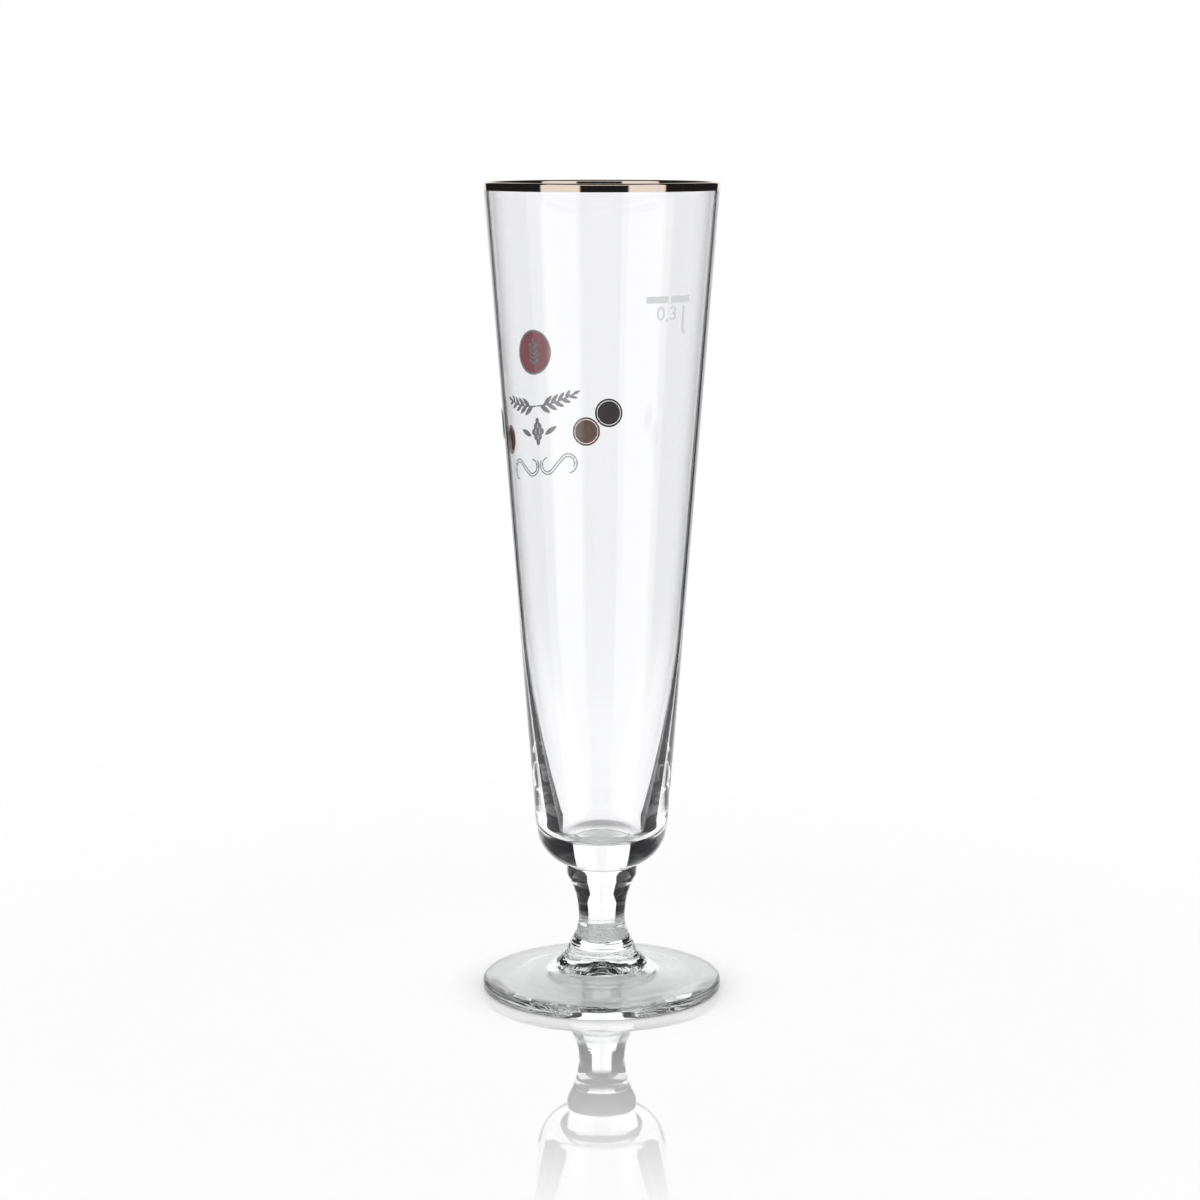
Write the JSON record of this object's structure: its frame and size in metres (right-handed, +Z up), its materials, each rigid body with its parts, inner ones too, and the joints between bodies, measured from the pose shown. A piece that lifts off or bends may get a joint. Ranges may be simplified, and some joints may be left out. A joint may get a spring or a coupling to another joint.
{
  "type": "pilsner glass",
  "caption": "Footed pilsner glass: tall conical bowl with a heavy base, short collared stem, round foot, bright metal rim and a fired-on print with a fill line on the back.",
  "frame": {"origin": "centre of the foot's underside on the table, under the glass's axis", "axes": "+Z up along the glass's axis, +X towards the printed front, the fill line nearly opposite"},
  "size_m": [0.0718, 0.0718, 0.2416],
  "materials": {
    "glass": "clear, fire-polished",
    "rim_metal": "bright metal lustre",
    "fill_print": "pale fired print",
    "red_enamel": "fired enamel",
    "silver_print": "satin silver print",
    "bronze_print": "satin bronze print",
    "dark_print": "satin dark print"
  },
  "bodies": {
    "root": {"bowl": "glass", "stem": "glass", "foot": "glass", "rim_band": "rim_metal", "fill_bar_left": "fill_print", "fill_bar_right": "fill_print", "emblem_field": "red_enamel", "emblem_figure": "silver_print", "garland": "silver_print", "hop_cone": "silver_print", "medal_bronze_left": "bronze_print", "medal_bronze_right": "bronze_print", "medal_dark_left": "dark_print", "medal_dark_right": "dark_print", "scroll_left": "silver_print", "scroll_right": "silver_print"}
  },
  "joints": []
}
